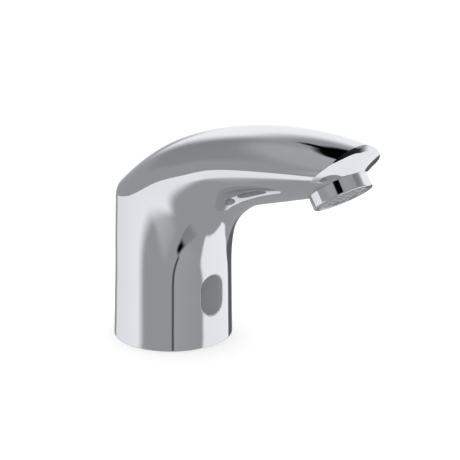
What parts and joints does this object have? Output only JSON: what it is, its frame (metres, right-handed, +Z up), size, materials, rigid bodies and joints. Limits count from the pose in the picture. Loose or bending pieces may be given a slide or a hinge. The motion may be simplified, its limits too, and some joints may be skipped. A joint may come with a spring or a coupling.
{
  "type": "sensor tap",
  "caption": "Chrome deck-mounted sensor tap with a round column, an arched spout, an angled aerator and an infrared window under the spout.",
  "frame": {"origin": "centre of the round foot, on the deck surface", "axes": "+Z up, +X towards the outlet"},
  "size_m": [0.1429, 0.056, 0.1086],
  "materials": {
    "battery": "plain sleeve over a steel can",
    "black_plastic": "black plastic",
    "black_rubber": "black nitrile rubber",
    "board": "green solder mask",
    "brass": "machined brass",
    "chrome": "polished chrome plate on a brass casting",
    "copper": "enamelled copper wire",
    "grey_plastic": "grey glass-filled plastic",
    "lead": "black insulated lead",
    "led_clear": "clear lens of an infrared diode",
    "led_dark": "dark filter lens",
    "mesh": "fine stainless mesh",
    "screw_steel": "zinc plated steel screws",
    "steel": "stainless steel, turned or pressed",
    "white_plastic": "white acetal",
    "window": "dark infrared-clear plastic, polished"
  },
  "bodies": {
    "tap": {"tap_body": "chrome", "aerator_ring": "chrome", "outlet_grid": "grey_plastic", "aerator_meshes": "mesh", "aerator_cage": "white_plastic", "diffuser_plate": "white_plastic", "flow_regulator": "grey_plastic", "aerator_washer": "black_rubber", "water_tube": "brass", "tube_seals": "black_rubber", "sensor_window": "window", "window_seal": "black_rubber", "sensor_housing": "black_plastic", "ir_emitter": "led_clear", "ir_receiver": "led_dark", "circuit_board": "board", "control_chip": "black_plastic", "base_plate": "brass", "body_screws": "screw_steel", "carrier_screws": "screw_steel", "foot_gasket": "black_rubber", "inlet_strainer": "mesh", "inlet_seal": "black_rubber", "valve_body": "grey_plastic", "valve_cover": "grey_plastic", "core_seal": "black_rubber", "core_tube": "steel", "cover_screws": "screw_steel", "plunger_spring": "steel", "fixed_core": "steel", "coil_bobbin": "black_plastic", "coil_winding": "copper", "coil_yoke": "steel", "coil_nut": "steel", "battery_cells": "battery", "battery_tray": "black_plastic", "battery_contacts": "steel", "coil_lead": "lead", "battery_lead": "lead"},
    "plunger_unit": {"plunger": "steel", "plunger_tip": "black_rubber"},
    "piston_unit": {"valve_piston": "white_plastic", "piston_pad": "black_rubber", "piston_seal": "black_rubber"}
  },
  "joints": [
    {"name": "plunger_lift", "type": "slide", "parent": "tap", "child": "plunger_unit", "axis": [0, 0, 1], "range_m": [0, 0.0018], "stiffness_N_per_m": 150, "springref_m": -0.002, "deforming": ["plunger_spring"]},
    {"name": "piston_lift", "type": "slide", "parent": "tap", "child": "piston_unit", "axis": [0, 0, 1], "range_m": [0, 0.0012]}
  ],
  "couplings": [
    {"joint": "piston_lift", "follows": "plunger_lift", "ratio": 0.6}
  ]
}
